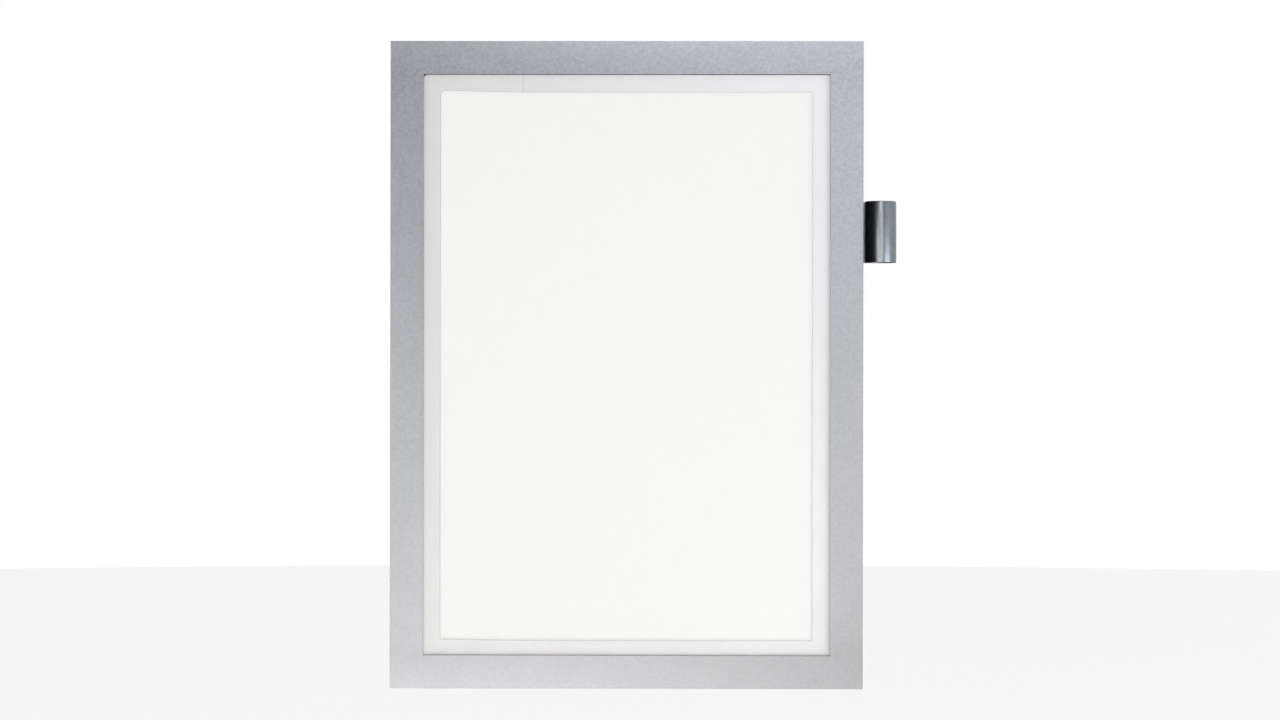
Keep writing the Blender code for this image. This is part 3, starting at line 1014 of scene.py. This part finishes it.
class DISPLAYFRAME_OT_hinge(bpy.types.Operator):
    """Model the film strip that is folded along its middle and hinges the cover"""

    bl_idname = "display_frame.hinge"
    bl_label = "Hinge Strip"

    def execute(self, context):
        settings = context.scene.display_frame.hinge
        low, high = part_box("hinge_strip")
        leaf_depth = (high.y - low.y - settings.thickness) / 2
        fold = Vector((high.x - settings.leaf, (low.y + high.y) / 2, (low.z + high.z) / 2))
        bpy.ops.object.select_all(action="DESELECT")
        bpy.ops.mesh.primitive_plane_add(
            size=1,
            location=(fold.x + settings.leaf / 2, fold.y + leaf_depth, fold.z),
            rotation=(math.radians(90), 0, 0),
        )
        bpy.context.active_object.scale = (settings.leaf, high.z - low.z, 1)
        strip = settle("fold_film")
        start_editing(strip, "EDGE")
        select(strip, "edges", lambda edge: middle(edge).x < fold.x + leaf_depth)
        bpy.ops.mesh.spin(steps=settings.fold_steps, angle=math.radians(180), center=fold, axis=(0, 0, -1))
        bpy.ops.mesh.extrude_region_move(TRANSFORM_OT_translate={"value": (settings.leaf, 0, 0)})
        bpy.ops.mesh.select_all(action="SELECT")
        bpy.ops.mesh.remove_doubles(threshold=NEAR)
        bpy.ops.mesh.normals_make_consistent(inside=False)
        stop_editing()
        apply_modifier(strip, "SOLIDIFY", thickness=settings.thickness, offset=0.0)
        dress(strip, clear_film("hinge_film", settings))
        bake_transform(strip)
        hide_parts("hinge_strip")
        return {"FINISHED"}


class DISPLAYFRAME_OT_pen_holder(bpy.types.Operator):
    """Model the sleeve for a pen and the tab that reaches behind the border"""

    bl_idname = "display_frame.pen_holder"
    bl_label = "Pen Holder"

    def execute(self, context):
        settings = context.scene.display_frame.pen_holder
        low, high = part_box("pen_holder")
        radius = (high.y - low.y) / 2
        centre = Vector((high.x - radius, high.y - radius, (low.z + high.z) / 2))
        bpy.ops.object.select_all(action="DESELECT")
        bpy.ops.mesh.primitive_cylinder_add(
            vertices=settings.facets, radius=radius, depth=high.z - low.z, location=centre
        )
        sleeve = settle("pen_sleeve")
        start_editing(sleeve, "FACE")
        select(sleeve, "faces", lambda face: abs(face.normal.z) > 0.5)
        bpy.ops.mesh.inset(thickness=settings.wall)
        bpy.ops.mesh.bridge_edge_loops()
        stop_editing()
        bevel_edges(
            sleeve,
            lambda edge: abs(abs(middle(edge).z - centre.z) - (high.z - low.z) / 2) < NEAR
            and any(abs(face.normal.z) < 0.5 for face in edge.link_faces),
            settings.rim_round,
            4,
        )
        tab_low = Vector((low.x, high.y - settings.tab, low.z))
        tab_high = Vector((centre.x, high.y, high.z))
        combine(sleeve, add_block("tab", tab_low, tab_high), "UNION")
        bpy.ops.object.shade_smooth_by_angle(angle=settings.smooth_angle)
        dress(sleeve, graphite_plastic(settings))
        carry(sleeve, "back", "graphite_plastic", "pen_holder")
        return {"FINISHED"}


class DISPLAYFRAME_OT_stage(bpy.types.Operator):
    """Set the floor, the light and the camera"""

    bl_idname = "display_frame.stage"
    bl_label = "Stage"

    def execute(self, context):
        settings = context.scene.display_frame.stage
        low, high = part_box("facing")
        face = Vector(((low.x + high.x) / 2, low.y, (low.z + high.z) / 2))
        self.add_floor(settings, low.z)
        self.set_world(context, settings)
        for name, place, size, power, colour in SOFTBOXES:
            self.add_softbox(name, face + Vector(place), face, size, power, colour)
        self.add_floor_wash(settings, face)
        self.aim_only_at("left_fill", "silver_facing")
        self.aim_only_at("back_fill", "silver_facing")
        self.aim_only_at("floor_wash", "floor")
        self.add_camera(context, settings, face)
        context.scene.view_settings.view_transform = "Standard"
        return {"FINISHED"}

    def add_floor(self, settings, foot):
        """A plain pale floor below the frame."""
        bpy.ops.object.select_all(action="DESELECT")
        bpy.ops.mesh.primitive_circle_add(
            vertices=96,
            radius=settings.floor_radius,
            fill_type="NGON",
            location=(0, 0, foot - settings.floor_drop),
        )
        floor = settle("floor")
        dress(floor, start_material("floor", settings.floor_colour, 0.9)[0])
        floor.visible_glossy = False

    def set_world(self, context, settings):
        """A room with a bright right side and a dimmer ceiling and ground. The camera sees white."""
        world = bpy.data.worlds.new("studio")
        context.scene.world = world
        world.use_nodes = True
        tree = world.node_tree
        tree.nodes.clear()
        right = self.add_zone(tree, "X", RIGHT_SHARES)
        above = self.add_zone(tree, "Z", CEILING_SHARES)
        below = self.add_zone(tree, "Z", GROUND_SHARES)
        sides = self.add_mix(tree, right, settings.dark_side, settings.bright_side)
        room = self.add_mix(tree, add_math(tree, "MAXIMUM", above, below), sides, settings.ceiling)
        around = tree.nodes.new("ShaderNodeBackground")
        tree.links.new(room, around.inputs["Color"])
        seen = tree.nodes.new("ShaderNodeBackground")
        seen.inputs["Color"].default_value = (1, 1, 1, 1)
        path = tree.nodes.new("ShaderNodeLightPath")
        choice = tree.nodes.new("ShaderNodeMixShader")
        output = tree.nodes.new("ShaderNodeOutputWorld")
        tree.links.new(path.outputs["Is Camera Ray"], choice.inputs["Fac"])
        tree.links.new(around.outputs["Background"], choice.inputs[1])
        tree.links.new(seen.outputs["Background"], choice.inputs[2])
        tree.links.new(choice.outputs["Shader"], output.inputs["Surface"])

    def add_zone(self, tree, axis, shares):
        """Rises smoothly from 0 to 1 between two shares of a direction along an axis."""
        zone = tree.nodes.new("ShaderNodeMapRange")
        zone.interpolation_type = "SMOOTHSTEP"
        zone.inputs["From Min"].default_value, zone.inputs["From Max"].default_value = shares
        tree.links.new(add_place(tree, axis), zone.inputs["Value"])
        return zone.outputs["Result"]

    def add_mix(self, tree, share, first, second):
        """A share of the second colour over the first, which may be a socket."""
        mix = tree.nodes.new("ShaderNodeMix")
        mix.data_type = "RGBA"
        mix.inputs["B"].default_value = (*second, 1)
        if isinstance(first, bpy.types.NodeSocket):
            tree.links.new(first, mix.inputs["A"])
        else:
            mix.inputs["A"].default_value = (*first, 1)
        tree.links.new(share, mix.inputs["Factor"])
        return mix.outputs["Result"]

    def add_softbox(self, name, place, target, size, power, colour):
        """A lamp at a place, turned to the target."""
        bpy.ops.object.select_all(action="DESELECT")
        bpy.ops.object.light_add(type="AREA", location=place)
        lamp = bpy.context.active_object
        lamp.name = lamp.data.name = name
        lamp.rotation_euler = (target - place).to_track_quat("-Z", "Y").to_euler()
        lamp.data.shape = "RECTANGLE"
        lamp.data.size, lamp.data.size_y = size
        lamp.data.energy = power
        lamp.data.color = colour
        lamp.visible_camera = False

    def add_floor_wash(self, settings, face):
        """Even light from straight above, which keeps the floor nearly as pale as the ground behind."""
        bpy.ops.object.select_all(action="DESELECT")
        bpy.ops.object.light_add(type="SUN", location=face)
        lamp = bpy.context.active_object
        lamp.name = lamp.data.name = "floor_wash"
        lamp.data.energy = settings.floor_wash
        lamp.data.angle = settings.wash_angle

    def aim_only_at(self, lamp, piece):
        """Keeps a lamp's light on one piece."""
        lit = bpy.data.collections.new(f"lit_by_{lamp}")
        lit.objects.link(bpy.data.objects[piece])
        bpy.data.objects[lamp].light_linking.receiver_collection = lit

    def add_camera(self, context, settings, face):
        """The camera looks nearly straight at the frame, from the distance at which the picture covers it."""
        target = face + Vector((settings.aim[0], 0, settings.aim[1]))
        away = Vector((math.sin(settings.orbit), -math.cos(settings.orbit), 0))
        bpy.ops.object.select_all(action="DESELECT")
        bpy.ops.object.camera_add(
            location=target + away * settings.distance,
            rotation=(math.radians(90), settings.roll, settings.orbit),
        )
        camera = bpy.context.active_object
        camera.data.lens = camera.data.sensor_width * settings.distance / settings.seen_width
        context.scene.camera = camera


# The panel in the sidebar, and the add-on's own list of classes

OPERATORS = (
    DISPLAYFRAME_OT_facing,
    DISPLAYFRAME_OT_magnets,
    DISPLAYFRAME_OT_front_film,
    DISPLAYFRAME_OT_back_film,
    DISPLAYFRAME_OT_paper,
    DISPLAYFRAME_OT_adhesive,
    DISPLAYFRAME_OT_hinge,
    DISPLAYFRAME_OT_pen_holder,
    DISPLAYFRAME_OT_stage,
)


class DISPLAYFRAME_PT_panel(bpy.types.Panel):
    """The display frame's pieces and settings"""

    bl_idname = "DISPLAYFRAME_PT_panel"
    bl_label = "Display Frame"
    bl_space_type = "VIEW_3D"
    bl_region_type = "UI"
    bl_category = "Display Frame"

    def draw(self, context):
        for operator in OPERATORS:
            self.layout.operator(operator.bl_idname)


CLASSES = (
    DISPLAYFRAME_PG_facing,
    DISPLAYFRAME_PG_film,
    DISPLAYFRAME_PG_magnets,
    DISPLAYFRAME_PG_paper,
    DISPLAYFRAME_PG_adhesive,
    DISPLAYFRAME_PG_hinge,
    DISPLAYFRAME_PG_pen_holder,
    DISPLAYFRAME_PG_stage,
    DISPLAYFRAME_PG_settings,
    *OPERATORS,
    DISPLAYFRAME_PT_panel,
)


def register():
    for item in CLASSES:
        bpy.utils.register_class(item)
    bpy.types.Scene.display_frame = PointerProperty(type=DISPLAYFRAME_PG_settings)


def unregister():
    del bpy.types.Scene.display_frame
    for item in reversed(CLASSES):
        bpy.utils.unregister_class(item)


def main():
    """Makes the whole display frame."""
    register()
    for operator in OPERATORS:
        category, name = operator.bl_idname.split(".")
        getattr(getattr(bpy.ops, category), name)()


if __name__ == "__main__":
    main()
